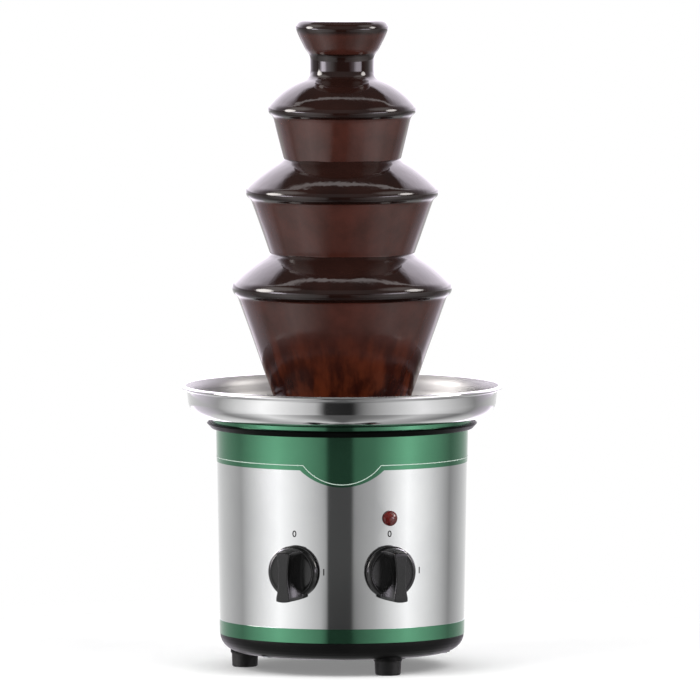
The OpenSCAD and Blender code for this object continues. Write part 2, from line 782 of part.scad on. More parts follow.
module tier(s, sleeve_z0) {
  bore = tube_r + sleeve_gap;
  color(steel) difference() {
    union() {
      dome(s);
      turned([[bore, sleeve_z0], [sleeve_r, sleeve_z0], [sleeve_r, s[0][1]], [bore, s[0][1]]]);
    }
    cylinder(r = bore, h = total_h);
  }
}

module tier_lower() { tier(lower, shoulder_z + shoulder_h); }
module tier_middle() { tier(middle, lower[0][1]); }
module tier_upper() { tier(upper, middle[0][1]); }

// The crown cup: a sleeve on top of the upper tier, then a cone that opens to the bead.
crown_neck_z = 374.5;
crown_in_r = neck_r - film;
module cup() {
  bore = tube_r + sleeve_gap;
  turned([[bore, upper[0][1]], [crown_in_r, upper[0][1]], [crown_in_r, crown_neck_z],
    [crown_bead[0] + 0.5, crown_bead[1] - 1], [crown_bead[0] - 0.9, crown_bead[1] - 0.4],
    [crown_in_r - 1, crown_neck_z + 2.4], [bore, crown_neck_z + 2]]);
  bead([crown_bead[0] - 0.2, crown_bead[1] - 0.6], 1);
}
module crown() { color(steel) cup(); }

// Falling chocolate: the film on a dome, the bead at its rim and the curtain down to the next dome.
module flow(s, land) {
  c = film_centre(s);
  a1 = angle_to(c, s[1]);
  a_land = angle_to(c, land);
  turned(concat(arc(c, film_r(s), a_land, a1, 16), arc(c, film_r(s) - film - 0.3, a1, a_land, 16)));
  bead(s[3], s[4]);
  turned([s[5], s[6], s[6] - [curtain_t, 0], s[5] - [curtain_t, 0]]);
}
upper_land = [neck_r, 363];
middle_land = [34, 313.5];
lower_land = [42, 255];

module chocolate_crown() {
  color(choco) difference() {
    union() {
      turned([[0, crown_fill_z], [23.3, crown_fill_z], crown_bead,
        [crown_bead[0], crown_bead[1] + crown_bead_r], [20, total_h - 1.1], [12, total_h - 0.3],
        [0, total_h]]);
      bead(crown_bead, crown_bead_r);
      turned([[crown_bead[0] + 2.2, crown_bead[1] - 0.8], [neck_r, crown_neck_z],
        [neck_r, crown_neck_z - 3], [crown_in_r, crown_neck_z - 3], [crown_in_r, crown_neck_z],
        [crown_bead[0], crown_bead[1]]]);
    }
    cup();
  }
}

module chocolate_upper() {
  color(choco) difference() {
    union() {
      flow(upper, upper_land);
      turned([[crown_in_r, 363], [neck_r + 1.4, 363], [neck_r + 0.5, 364.3], [neck_r, 366],
        [neck_r, crown_neck_z - 3], [crown_in_r, crown_neck_z - 3]]);
    }
    cup();
    dome(upper);
    cylinder(r = sleeve_r, h = upper[0][1]);
    flow(middle, middle_land);
    dome(middle);
  }
}

module chocolate_middle() {
  color(choco) difference() {
    flow(middle, middle_land);
    dome(middle);
    flow(lower, lower_land);
    dome(lower);
  }
}

module chocolate_lower() {
  color(choco) difference() {
    flow(lower, lower_land);
    dome(lower);
  }
}

base_pan();
body_shell();
lower_band();
upper_band();
trim_ring();
top_plate();
bowl();
hub_bush();
shaft_seal();
heat_plate();
heating_element();
thermostat();
thermal_fuse();
standoffs();
motor_bracket();
output_bush();
gearbox_case();
idler_pin();
motor_can();
tie_rods();
case_screws();
terminal_block();
cord_gland();
motor_switch();
heat_switch();
switch_nuts();
indicator_holder();
indicator_lens();
foot_front();
foot_left();
foot_rear();
foot_screws();
chocolate_pool();
output_gear();
drive_shaft();
shaft_collar();
auger();
idler_gear();
rotor();
motor_pinion();
motor_spindle();
motor_knob();
heat_spindle();
heat_knob();
tower_tube();
crown();
tier_upper();
tier_middle();
tier_lower();
chocolate_crown();
chocolate_upper();
chocolate_middle();
chocolate_lower();
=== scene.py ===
"""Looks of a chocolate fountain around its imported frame.

The chocolate is poured as smooth skins over the plain solids, the printed marks and the
pinstripe are laid on the shell, every part gets its finish, and a white studio lights it.
"""

import json
import math

import bmesh
import bpy
from mathutils import Matrix, Vector, noise


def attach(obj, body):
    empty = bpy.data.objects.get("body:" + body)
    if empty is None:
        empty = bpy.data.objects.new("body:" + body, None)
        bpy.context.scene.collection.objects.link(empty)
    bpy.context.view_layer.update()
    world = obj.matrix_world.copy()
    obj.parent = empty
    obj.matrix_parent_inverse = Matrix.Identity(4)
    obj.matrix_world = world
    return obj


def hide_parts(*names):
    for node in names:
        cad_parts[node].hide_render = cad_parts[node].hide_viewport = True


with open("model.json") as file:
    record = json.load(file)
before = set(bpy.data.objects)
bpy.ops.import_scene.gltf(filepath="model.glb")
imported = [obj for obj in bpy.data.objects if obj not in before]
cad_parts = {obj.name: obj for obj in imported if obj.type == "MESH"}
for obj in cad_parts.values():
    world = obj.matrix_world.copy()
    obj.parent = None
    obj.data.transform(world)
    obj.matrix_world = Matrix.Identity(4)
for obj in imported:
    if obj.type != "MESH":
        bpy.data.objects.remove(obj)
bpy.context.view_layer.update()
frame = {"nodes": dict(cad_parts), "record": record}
NODES = frame["nodes"]
MM = 0.001


# ---- Shader helpers ----


def linear(code):
    """Linear colour of a hex colour."""
    parts = [int(code[i : i + 2], 16) / 255 for i in (0, 2, 4)]
    return tuple(c / 12.92 if c <= 0.04045 else ((c + 0.055) / 1.055) ** 2.4 for c in parts) + (1.0,)


def add(tree, kind, sockets=None, **settings):
    """A shader node. A socket's value is a constant, or another node's output to link."""
    made = tree.nodes.new("ShaderNode" + kind)
    for key, value in settings.items():
        setattr(made, key, value)
    for key, value in (sockets or {}).items():
        if isinstance(value, bpy.types.NodeSocket):
            tree.links.new(value, made.inputs[key])
        else:
            made.inputs[key].default_value = value
    return made


def step(tree, value, start, end):
    """A mask that goes from 0 at start to 1 at end."""
    return add(
        tree, "MapRange", {"Value": value, "From Min": start, "From Max": end}, interpolation_type="SMOOTHSTEP"
    ).outputs["Result"]


def mix_values(tree, factor, first, second):
    """Output of a mix of two values."""
    return add(tree, "Mix", {0: factor, 2: first, 3: second}).outputs[0]


def effect(name, inputs, outputs):
    """A new shader node group with its named sockets, and its input and output nodes."""
    tree = bpy.data.node_groups.new(name, "ShaderNodeTree")
    for label, kind, value in inputs:
        tree.interface.new_socket(label, in_out="INPUT", socket_type="NodeSocket" + kind).default_value = value
    for label, kind in outputs:
        tree.interface.new_socket(label, in_out="OUTPUT", socket_type="NodeSocket" + kind)
    return tree, tree.nodes.new("NodeGroupInput"), tree.nodes.new("NodeGroupOutput")


def place(tree, group, values):
    """An effect group placed in a material, with its values or links."""
    made = tree.nodes.new("ShaderNodeGroup")
    made.node_tree = group
    for key, value in values.items():
        if isinstance(value, bpy.types.NodeSocket):
            tree.links.new(value, made.inputs[key])
        else:
            made.inputs[key].default_value = value
    return made


def make_smudges():
    """Wiped and handled patches: a value that wanders between Low and High."""
    tree, given, out = effect(
        "smudges",
        [("Scale", "Float", 40.0), ("Low", "Float", 0.1), ("High", "Float", 0.2)],
        [("Value", "Float")],
    )
    at = add(tree, "TexCoord")
    cloud = add(
        tree, "TexNoise", {"Vector": at.outputs["Object"], "Scale": given.outputs["Scale"], "Detail": 4.0}
    )
    spread = add(
        tree,
        "MapRange",
        {
            "Value": cloud.outputs["Fac"],
            "From Min": 0.35,
            "From Max": 0.68,
            "To Min": given.outputs["Low"],
            "To Max": given.outputs["High"],
        },
        interpolation_type="SMOOTHSTEP",
    )
    tree.links.new(spread.outputs["Result"], out.inputs["Value"])
    return tree


def make_mottle():
    """Uneven colour: a mix of two colours by noise at the given scale."""
    tree, given, out = effect(
        "mottle",
        [("Scale", "Float", 60.0), ("Dark", "Color", (0, 0, 0, 1)), ("Light", "Color", (1, 1, 1, 1))],
        [("Color", "Color")],
    )
    at = add(tree, "TexCoord")
    cloud = add(
        tree,
        "TexNoise",
        {"Vector": at.outputs["Object"], "Scale": given.outputs["Scale"], "Detail": 5.0, "Roughness": 0.6},
    )
    spread = add(tree, "MapRange", {"Value": cloud.outputs["Fac"], "From Min": 0.3, "From Max": 0.7})
    blend = tree.nodes.new("ShaderNodeMix")
    blend.data_type = "RGBA"
    tree.links.new(spread.outputs["Result"], blend.inputs[0])
    tree.links.new(given.outputs["Dark"], blend.inputs[6])
    tree.links.new(given.outputs["Light"], blend.inputs[7])
    tree.links.new(blend.outputs[2], out.inputs["Color"])
    return tree


def make_grain():
    """Fine height of a surface: stretched noise, as brushing or as moulded grain."""
    tree, given, out = effect(
        "grain",
        [("Along", "Vector", (1.0, 1.0, 1.0)), ("Scale", "Float", 800.0)],
        [("Height", "Float")],
    )
    at = add(tree, "TexCoord")
    stretch = add(tree, "VectorMath", {0: at.outputs["Object"], 1: given.outputs["Along"]}, operation="MULTIPLY")
    fine = add(
        tree, "TexNoise", {"Vector": stretch.outputs["Vector"], "Scale": given.outputs["Scale"], "Detail": 2.0}
    )
    tree.links.new(fine.outputs["Fac"], out.inputs["Height"])
    return tree


def make_edge_lightening():
    """Mask of the sharp edges, which take a lighter colour: where a rounded normal leaves the true one."""
    tree, given, out = effect(
        "edge_lightening", [("Radius", "Float", 0.0006), ("Gain", "Float", 3.0)], [("Mask", "Float")]
    )
    round_off = add(tree, "Bevel", {"Radius": given.outputs["Radius"]}, samples=4)
    true = add(tree, "NewGeometry")
    same = add(
        tree,
        "VectorMath",
        {0: round_off.outputs["Normal"], 1: true.outputs["Normal"]},
        operation="DOT_PRODUCT",
    )
    off = add(tree, "Math", {0: 1.0, 1: same.outputs["Value"]}, operation="SUBTRACT")
    gain = add(
        tree, "Math", {0: off.outputs["Value"], 1: given.outputs["Gain"]}, operation="MULTIPLY", use_clamp=True
    )
    tree.links.new(gain.outputs["Value"], out.inputs["Mask"])
    return tree


SMUDGES = make_smudges()
MOTTLE = make_mottle()
GRAIN = make_grain()
EDGE_LIGHTENING = make_edge_lightening()


def mix_colours(tree, factor, first, second):
    """Output of a colour mix of two sockets or colours."""
    made = tree.nodes.new("ShaderNodeMix")
    made.data_type = "RGBA"
    for socket, value in ((made.inputs[0], factor), (made.inputs[6], first), (made.inputs[7], second)):
        if isinstance(value, bpy.types.NodeSocket):
            tree.links.new(value, socket)
        else:
            socket.default_value = value
    return made.outputs[2]


def finish(name, dark, light, rough, spots=60.0, grain=None, soft_edge=0.0, edge_lightening_tone=None, **sockets):
    """A material of one finish.

    dark and light are the colours that the mottle wanders between, rough the range of roughness,
    grain (stretch, scale, depth) a fine bump, soft_edge the radius of the edges' rounding, the pair
    after it (colour, strength) the lighter colour laid on sharp edges, and sockets are constants of the shader
    itself.
    """
    material = bpy.data.materials.new(name)
    material.use_nodes = True
    tree = material.node_tree
    shader = tree.nodes["Principled BSDF"]
    for key, value in sockets.items():
        shader.inputs[key.replace("_", " ")].default_value = value
    colour = place(tree, MOTTLE, {"Scale": spots, "Dark": linear(dark), "Light": linear(light)}).outputs["Color"]
    if edge_lightening_tone:
        mask = place(tree, EDGE_LIGHTENING, {"Gain": edge_lightening_tone[1]})
        colour = mix_colours(tree, mask.outputs["Mask"], colour, linear(edge_lightening_tone[0]))
    tree.links.new(colour, shader.inputs["Base Color"])
    patches = place(tree, SMUDGES, {"Scale": spots * 0.7, "Low": rough[0], "High": rough[1]})
    tree.links.new(patches.outputs["Value"], shader.inputs["Roughness"])
    normal = None
    if soft_edge:
        normal = add(tree, "Bevel", {"Radius": soft_edge}, samples=6).outputs["Normal"]
    if grain:
        height = place(tree, GRAIN, {"Along": grain[0], "Scale": grain[1]})
        bump = add(tree, "Bump", {"Height": height.outputs["Height"], "Distance": grain[2], "Strength": 1.0})
        if normal:
            tree.links.new(normal, bump.inputs["Normal"])
        normal = bump.outputs["Normal"]
    if normal:
        tree.links.new(normal, shader.inputs["Normal"])
    return material


# ---- Finishes ----

EVEN = (1.0, 1.0, 1.0)
AROUND = (0.02, 0.02, 1.0)  # brushed round the axis: long in X and Y, fine in Z

FINISHES = {
    "steel": finish(
        "polished_shell", "d3d4d5", "dbdcdc", (0.06, 0.1), 22.0, (AROUND, 9000.0, 0.0000008), Metallic=1.0
    ),
    "polished_steel": finish(
        "polished_bowl", "d3d3d4", "dcdcdc", (0.09, 0.14), 22.0, (AROUND, 7000.0, 0.000002), Metallic=1.0
    ),
    "inner_steel": finish(
        "satin_bowl", "a8a8a8", "b4b4b4", (0.42, 0.5), 22.0, (AROUND, 5000.0, 0.000003), Metallic=0.6
    ),
    "zinc_steel": finish(
        "zinc_plate", "8f9497", "a9adb0", (0.28, 0.42), 120.0, (EVEN, 1500.0, 0.00001), 0.0003, Metallic=1.0
    ),
    "green_band": finish(
        "green_foil", "508668", "578f70", (0.08, 0.12), 22.0, (AROUND, 9000.0, 0.0000008), Metallic=0.93
    ),
    "bronze": finish(
        "turned_bronze", "8a6530", "b48b4e", (0.22, 0.36), 180.0, (AROUND, 4000.0, 0.00001), 0.0002, Metallic=1.0
    ),
    "pan_plastic": finish(
        "pan_plastic", "0b0b0b", "121212", (0.34, 0.46), 50.0, (EVEN, 2600.0, 0.00002), 0.0012,
        ("242424", 0.8), Specular_IOR_Level=0.1
    ),
    "ring_plastic": finish(
        "ring_plastic", "040605", "080a09", (0.35, 0.45), 50.0, (EVEN, 2600.0, 0.000008), 0.0006,
        Specular_IOR_Level=0.04
    ),
    "rubber": finish(
        "foot_rubber", "0d0d0d", "151515", (0.45, 0.6), 70.0, (EVEN, 1800.0, 0.00003), 0.0012,
        Specular_IOR_Level=0.3
    ),
    "cast_aluminium": finish(
        "cast_aluminium", "83868a", "a4a7aa", (0.38, 0.55), 150.0, (EVEN, 900.0, 0.00006), 0.0004, Metallic=1.0
    ),
    "element_steel": finish(
        "oxidised_sheath", "2e2a28", "5a4a40", (0.4, 0.6), 140.0, (EVEN, 1500.0, 0.00003), Metallic=0.9
    ),
    "ivory_plastic": finish(
        "ivory_plastic", "c6bfa9", "d4cdb9", (0.35, 0.45), 60.0, (EVEN, 2000.0, 0.00001), 0.0003, ("e8e3d4", 0.8)
    ),
    "auger_plastic": finish(
        "auger_plastic", "d5d2c8", "e2dfd6", (0.25, 0.38), 60.0, (EVEN, 2000.0, 0.00001), 0.0004
    ),
    "switch_plastic": finish(
        "switch_plastic", "1a1a1b", "262627", (0.4, 0.5), 90.0, (EVEN, 2400.0, 0.00002), 0.0003, ("3c3c3c", 0.7)
    ),
    "knob_plastic": finish(
        "knob_plastic", "090909", "101010", (0.14, 0.22), 60.0, (EVEN, 3200.0, 0.000012), 0.0,
        ("262626", 0.6), Specular_IOR_Level=0.5
    ),
    "red_lens": finish(
        "lens_red", "3a0807", "6a1813", (0.12, 0.22), 500.0, (EVEN, 620.0, 0.00022), Coat_Weight=0.3
    ),
}


def chocolate(name, crease=None, thin=None, cup=None):
    """Wet chocolate: dark and glossy on a dome, warmer where it hangs below the crease's height, that warmer colour
    being partly its own and partly painted light through the thin sheet and painted reddish reflection.

    Between the two heights of thin the sheet shows paler streaks, the flow's own streaks lightened by painted light
    through the thin film, and those of cup bound a second sheet.
    """
    material = bpy.data.materials.new(name)
    material.use_nodes = True
    tree = material.node_tree
    shader = tree.nodes["Principled BSDF"]
    shader.inputs["IOR"].default_value = 1.5
    at = add(tree, "TexCoord")
    height = add(tree, "SeparateXYZ", {"Vector": at.outputs["Object"]}).outputs["Z"]
    glossy = place(tree, MOTTLE, {"Scale": 45.0, "Dark": linear("1a0c09"), "Light": linear("25130f")})
    colour = glossy.outputs["Color"]
    rough = place(tree, SMUDGES, {"Scale": 35.0, "Low": 0.04, "High": 0.1}).outputs["Value"]
    if crease:
        hangs = step(tree, height, crease + 0.0004, crease - 0.0008)
        if cup:
            over = step(tree, height, cup[0], cup[0] + 0.001)
            under = step(tree, height, cup[1], cup[1] - 0.003)
            inside = add(tree, "Math", {0: over, 1: under}, operation="MULTIPLY")
            hangs = add(tree, "Math", {0: hangs, 1: inside.outputs["Value"]}, operation="MAXIMUM").outputs["Value"]
        # The hanging sheet's warmer colour: the chocolate's own colour with painted light passing through the thin
        # sheet and a painted reddish reflection.
        warm = place(tree, MOTTLE, {"Scale": 60.0, "Dark": linear("40211a"), "Light": linear("552c24")})
        colour = mix_colours(tree, hangs, colour, warm.outputs["Color"])
        rough = mix_values(tree, hangs, rough, 0.13)
    if thin:
        # Paler streaks low on the curtain: the flow's own streaks, lightened as painted light shining through the
        # thin film.
        drawn = add(tree, "VectorMath", {0: at.outputs["Object"], 1: (1.0, 1.0, 0.2)}, operation="MULTIPLY")
        cloud = add(tree, "TexNoise", {"Vector": drawn.outputs["Vector"], "Scale": 95.0, "Detail": 6.0})
        streaks = step(tree, cloud.outputs["Fac"], 0.42, 0.68)
        streaks_and_glow = mix_colours(tree, streaks, linear("34110a"), linear("74341c"))
        colour = mix_colours(tree, step(tree, height, thin[1], thin[0]), colour, streaks_and_glow)
    tree.links.new(colour, shader.inputs["Base Color"])
    tree.links.new(rough, shader.inputs["Roughness"])
    waves = place(tree, GRAIN, {"Along": (1.0, 1.0, 0.35), "Scale": 160.0})
    bump = add(tree, "Bump", {"Height": waves.outputs["Height"], "Distance": 0.0001, "Strength": 1.0})
    tree.links.new(bump.outputs["Normal"], shader.inputs["Normal"])
    return material


WET_CHOCOLATE = chocolate("wet_chocolate")
FALLS = {
    "chocolate_top_fall": chocolate("upper_chocolate", 0.3408, cup=(0.379, 0.3935)),
    "chocolate_middle_fall": chocolate("middle_chocolate", 0.2896),
    "chocolate_lower_fall": chocolate("lower_chocolate", 0.2298, thin=(0.165, 0.222)),
}
FINISHES["chocolate"] = WET_CHOCOLATE

SLOT_OF = {part["node"]: part["material_slot"] for part in frame["record"]["subparts"]}


def linked(name, mesh):
    """A new object of the mesh, curve, lamp or camera, in the scene."""
    made = bpy.data.objects.new(name, mesh)
    bpy.context.scene.collection.objects.link(made)
    return made


def made_of(name, bm):
    """A new object of the bmesh, which is used up."""
    mesh = bpy.data.meshes.new(name)
    bm.to_mesh(mesh)
    bm.free()
    return linked(name, mesh)


def spin_round(bm, outline, steps):
    """The outline's corners and edges spun once round Z, closed where they meet."""
    bmesh.ops.spin(
        bm, geom=outline, cent=(0, 0, 0), axis=(0, 0, 1), dvec=(0, 0, 0), angle=math.tau, steps=steps,
        use_merge=True
    )


def dress(obj, material):
    """The object shows this material only."""
    obj.data.materials.clear()
    obj.data.materials.append(material)


# ---- Outlines, as points of radius and height in millimetres ----


def arc(centre, radius, start, end, count):
    """Points of an arc, with its angles in degrees."""
    angles = [math.radians(start + (end - start) * i / count) for i in range(count + 1)]
    return [(centre[0] + radius * math.cos(a), centre[1] + radius * math.sin(a)) for a in angles]


def bulged(start, end, bulge, count):
    """Points from start to end on an arc that stands out from its chord, to the left of the way."""
    chord = Vector(end) - Vector(start)
    length = chord.length
    radius = (length * length / 4 + bulge * bulge) / (2 * bulge)
    out = Vector((-chord.y, chord.x)) / length
    centre = (Vector(start) + Vector(end)) / 2 + out * (bulge - radius)
    first = Vector(start) - centre
    second = Vector(end) - centre
    a0 = math.degrees(math.atan2(first.y, first.x))
    a1 = math.degrees(math.atan2(second.y, second.x))
    return arc(centre, radius, a0, a1, count)


def even(points, step, rounds):
    """The same line with a point at every step, its corners rounded by so many rounds of smoothing."""
    line = [Vector(points[0])]
    for target in points[1:]:
        target = Vector(target)
        while (target - line[-1]).length > step:
            line.append(line[-1] + (target - line[-1]).normalized() * step)
    line.append(Vector(points[-1]))
    for _ in range(rounds):
        line = [line[0]] + [
            (line[i - 1] + 2 * line[i] + line[i + 1]) / 4 for i in range(1, len(line) - 1)
        ] + [line[-1]]
    return line


def turned(name, line, steps, shape=None, wall=0.0):
    """A piece spun from an outline.

    shape(angle, radius, height) moves a point, and wall gives a skin its thickness.
    """
    bm = bmesh.new()
    corners = [bm.verts.new((point[0] * MM, 0.0, point[1] * MM)) for point in line]
    edges = [bm.edges.new(pair) for pair in zip(corners, corners[1:])]
    spin_round(bm, corners + edges, steps)
    bmesh.ops.remove_doubles(bm, verts=bm.verts, dist=0.000001)
    if shape:
        for vert in bm.verts:
            radius = math.hypot(vert.co.x, vert.co.y)
            angle = math.atan2(vert.co.y, vert.co.x)
            dr, dz = shape(angle, radius / MM, vert.co.z / MM)
            if radius > 0:
                vert.co.x += dr * MM * vert.co.x / radius
                vert.co.y += dr * MM * vert.co.y / radius
            vert.co.z += dz * MM
    bmesh.ops.recalc_face_normals(bm, faces=bm.faces)
    if wall:
        bmesh.ops.solidify(bm, geom=bm.faces[:], thickness=wall * MM)
    for face in bm.faces:
        face.smooth = True
    return made_of(name, bm)


# ---- The chocolate ----

# Each stage is the dome's neck, the rim's outermost radius and its height, the radius of the round
# above it, how far the rim drops and draws back below it, the dome's bulge, and the curtain's foot.
UPPER = dict(neck=(18, 364.8), rim=(45.9, 344.8), over=5.0, drop=3.8, back=2.6, bulge=2.6, foot=(35.7, 311.9))
MIDDLE = dict(neck=(18, 320.5), rim=(59.7, 293.8), over=5.4, drop=4.0, back=2.9, bulge=3.4, foot=(43.9, 254.4))
LOWER = dict(neck=(18, 264.5), rim=(67.9, 234.9), over=6.0, drop=4.8, back=2.6, bulge=4.4, foot=(39.8, 160.3))
NECK_R = 19.4
SPIN_STEPS = 192
POOL_STEPS = 180
SKIN = 0.7


def ripples(angle, seed, counts):
    """A wave round the axis, made of a few whole numbers of folds, between about -1 and 1."""
    total = sum(math.sin(k * angle + seed * 1.7 + k * 0.9) / (1 + 0.05 * k) for k in counts)
    return total / len(counts)


def fall(stage, seed):
    """How a fall's points move: folds that grow down the curtain, and a rim that sags unevenly."""
    top, foot = stage["rim"][1] - stage["drop"], stage["foot"][1]

    def shape(angle, radius, height):
        down = min(max((top - height) / (top - foot), 0.0), 1.0)
        folds = ripples(angle, seed, (5, 8, 13, 21)) * (0.1 + 0.55 * down)
        wander = noise.noise(Vector((math.cos(angle) * 2.2, math.sin(angle) * 2.2, height * 0.03 + seed)))
        lumps = wander * 0.5 * down
        edge = max(0.0, 1 - abs(radius - stage["rim"][0] + 3) / 9)
        sag = ripples(angle, seed + 3, (2, 3, 5, 9)) * 0.35 * edge
        return folds + lumps, sag

    return shape


def fall_line(stage, start, foot_out):
    """Outline of a fall: dome from start, rounded rim, crease, curtain, and a small spread where it lands."""
    (r, z), over, drop, back = stage["rim"], stage["over"], stage["drop"], stage["back"]
    above = arc((r - over, z), over, 52, 0, 10)
    turns = [math.radians(12 * i) for i in range(1, 8)]
    below = [(r - back * (1 - math.cos(t)), z - drop * math.sin(t)) for t in turns]
    below.append((r - back - 0.9, z - drop - 0.5))
    dome = [p for p in bulged(stage["neck"], above[0], stage["bulge"], 40) if p[0] >= start[-1][0]]
    return even(start[:-1] + dome + above + below + [stage["foot"]] + foot_out, 0.8, 3)


def pour():
    """The chocolate's skins: three falls on the tower, the first from the crown down, and the pool's surface."""
    crown = [(0, 398.2), (10, 398.5), (17, 399.3), (21.5, 399.95)]
    crown += arc((24.0, 395.2), 4.8, 92, -30, 12)
    crown += [(26.2, 388.4), (22.6, 381.4), (21.2, 379.6), (NECK_R + 0.7, 378.4), (NECK_R + 0.3, 376)]
    crown += [(NECK_R + 0.2, 367.5), (NECK_R + 0.9, 365.0), (NECK_R + 2.4, 363.4)]
    pieces = {}
    for name, stage, start, foot_out, seed in (
        ("chocolate_top_fall", UPPER, crown, (37.6, 311.0), 1.0),
        (
            "chocolate_middle_fall",
            MIDDLE,
            [(34.8, 314.9), (36.0, 314.9), (36.9, 314.3), (37.8, 312.9)],
            (46.2, 253.2),
            5.0,
        ),
        (
            "chocolate_lower_fall",
            LOWER,
            [(42.8, 256.9), (44.2, 256.8), (45.2, 256.1), (46.2, 254.6)],
            (43.0, 159.9),
            9.0,
        ),
    ):
        line = fall_line(stage, start, [foot_out])
        pieces[name] = turned(name, line, SPIN_STEPS, fall(stage, seed), SKIN)
    pool_line = [(17.1, 156.2), (17.1, 160.0), (92.4, 160.0), (90.2, 157.9), (85.0, 156.15), (17.1, 156.2)]
    name = "chocolate_pool_surface"
    pieces[name] = turned(name, even(pool_line, 0.9, 1), POOL_STEPS, pool_shape)
    return pieces


def pool_shape(angle, radius, height):
    """Rings that spread from the falling curtain over the pool."""
    ring = radius - 41
    wave = 0.35 * math.exp(-abs(ring) / 14) * math.cos(ring * math.tau / 9) if ring > -6 else 0.0
    swirl = noise.noise(Vector((math.cos(angle) * radius * 0.05, math.sin(angle) * radius * 0.05, 4.0))) * 0.35
    edge = min(1.0, max(0.0, (91 - radius) / 8)) if height > 159.5 and radius > 18 else 0.0
    return 0.0, (wave + swirl) * edge


# ---- The bowl ----

BOWL_Z, BOWL_T, FLAT_R, CORNER_R = 155.0, 1.0, 84.5, 10.5
ROLL, ROLL_R = (97.4, 173.2), 1.4
HUB_R, HUB_H, BUSH_R = 7.5, 6.0, 5.6
BOWL_STEPS = 288


def pressed_bowl():
    """The bowl as one pressing: hub, flat floor, round corner, upright wall and a rolled rim."""
    corner = (FLAT_R, BOWL_Z + CORNER_R)
    wall_r = FLAT_R + CORNER_R
    line = [(BUSH_R, BOWL_Z), (FLAT_R, BOWL_Z)] + arc(corner, CORNER_R, -88, 0, 18)[1:]
    line += [(wall_r + 0.35, 168.4), (wall_r + 0.7, 171.0), (wall_r + 0.95, 171.7)]
    line += arc(ROLL, ROLL_R, -125, 170, 24)
    line += [(wall_r - 0.3, 172.0), (wall_r - 0.6, 168.4)] + arc(corner, CORNER_R - BOWL_T, 0, -88, 18)
    floor_z = BOWL_Z + BOWL_T
    line += [(FLAT_R, floor_z), (HUB_R + 0.6, floor_z), (HUB_R, floor_z + 0.6), (HUB_R, floor_z + HUB_H)]
    line += [(BUSH_R, floor_z + HUB_H), (BUSH_R, BOWL_Z)]
    bowl = turned("pressed_bowl", line, BOWL_STEPS)
    dress(bowl, FINISHES["polished_steel"])
    bowl.data.materials.append(FINISHES["inner_steel"])
    for face in bowl.data.polygons:
        centre, normal = face.center, face.normal
        outwards = normal.x * centre.x + normal.y * centre.y
        if centre.z > (BOWL_Z + 0.5) * MM and outwards <= 0 and centre.xy.length < (ROLL[0] - 0.8) * MM:
            face.material_index = 1
    return bowl


# ---- Printed marks and the pinstripe ----

SHELL_R0, SHELL_R1, SHELL_Z0, SHELL_Z1 = 75.2, 77.4, 21.3, 148.2
MARK_R, STRIPE_R = 76.5, 77.0
KNOB_AZ, KNOB_Z = 22.4, 65.0
OFF_MARK_Z, MARK_SIZE = 88.2, 3.9
BAND_Z, BULGE_W, BULGE_H = 127.6, 51.5, 10.2


def on_shell(around, height, lift):
    """The point so far round the front, as a length on the shell, and so far above it."""
    radius = SHELL_R0 + (SHELL_R1 - SHELL_R0) * (height - SHELL_Z0) / (SHELL_Z1 - SHELL_Z0)
    angle = around / radius
    return Vector(((radius + lift) * math.sin(angle), -(radius + lift) * math.cos(angle), height)) * MM


def mark(name, text, azimuth, height, size, bold=0.09, lift=0.03):
    """A printed figure, laid on the shell."""
    curve = bpy.data.curves.new(name, "FONT")
    curve.body = text
    curve.size = size * MM / 0.7
    curve.align_x = "CENTER"
    curve.align_y = "CENTER"
    curve.extrude = 0.01 * MM
    curve.offset = bold * MM
    flat = linked(name + "_flat", curve)
    mesh = bpy.data.meshes.new_from_object(flat.evaluated_get(bpy.context.evaluated_depsgraph_get()))
    bpy.data.objects.remove(flat)
    centre = math.radians(azimuth) * MARK_R
    for vert in mesh.vertices:
        vert.co = on_shell(centre + vert.co.x / MM, height + vert.co.y / MM, lift + vert.co.z / MM)
    return linked(name, mesh)


def stripe_height(around):
    """Height of the pinstripe's middle at a place round the shell."""
    gap, inner = 3.0, 1.6
    reach = BULGE_W / 2 - inner
    drop = BULGE_H + gap - inner
    if abs(around) >= reach:
        return BAND_Z + gap
    radius = (reach * reach + drop * drop) / (2 * drop)
    return BAND_Z + gap + (radius - drop) - math.sqrt(radius * radius - around * around)


def pinstripe():
    """A fine line above the upper band's lower edge, all the way round, made by extruding one short edge."""
    bm = bmesh.new()
    reach = math.pi * STRIPE_R
    count = 720
    places = [-reach + 2 * reach * i / count for i in range(count + 1)]
    half = 0.24

    def pair(u):
        slope = (stripe_height(u + 0.2) - stripe_height(u - 0.2)) / 0.4
        across = Vector((-slope, 1.0)).normalized() * half
        middle = Vector((u, stripe_height(u)))
        return [on_shell(*(middle - across), 0.36), on_shell(*(middle + across), 0.36)]

    ends = [bm.verts.new(p) for p in pair(places[0])]
    edge = bm.edges.new(ends)
    for u in places[1:]:
        grown = bmesh.ops.extrude_edge_only(bm, edges=[edge])["geom"]
        edge = [g for g in grown if isinstance(g, bmesh.types.BMEdge)][0]
        low, high = pair(u)
        first, second = edge.verts
        if first.co.z > second.co.z:
            first, second = second, first
        first.co, second.co = low, high
    bmesh.ops.remove_doubles(bm, verts=bm.verts, dist=0.00002)
    bmesh.ops.recalc_face_normals(bm, faces=bm.faces)
    return made_of("pinstripe", bm)


# ---- Knobs ----

PANEL_R = 75.96
KNOB_BACK, KNOB_FRONT, KNOB_R = PANEL_R + 0.6, PANEL_R + 19.0, 16.2
GRIP_W, GRIP_FLARE, GRIP_TAIL, WAIST_R = 6.0, 3.2, 1.2, 75.0
SKIRT_STEPS = 120
GRIP_ROOT, GRIP_SLOPE, GRIP_EDGE = 3.6, 1.9, 0.75


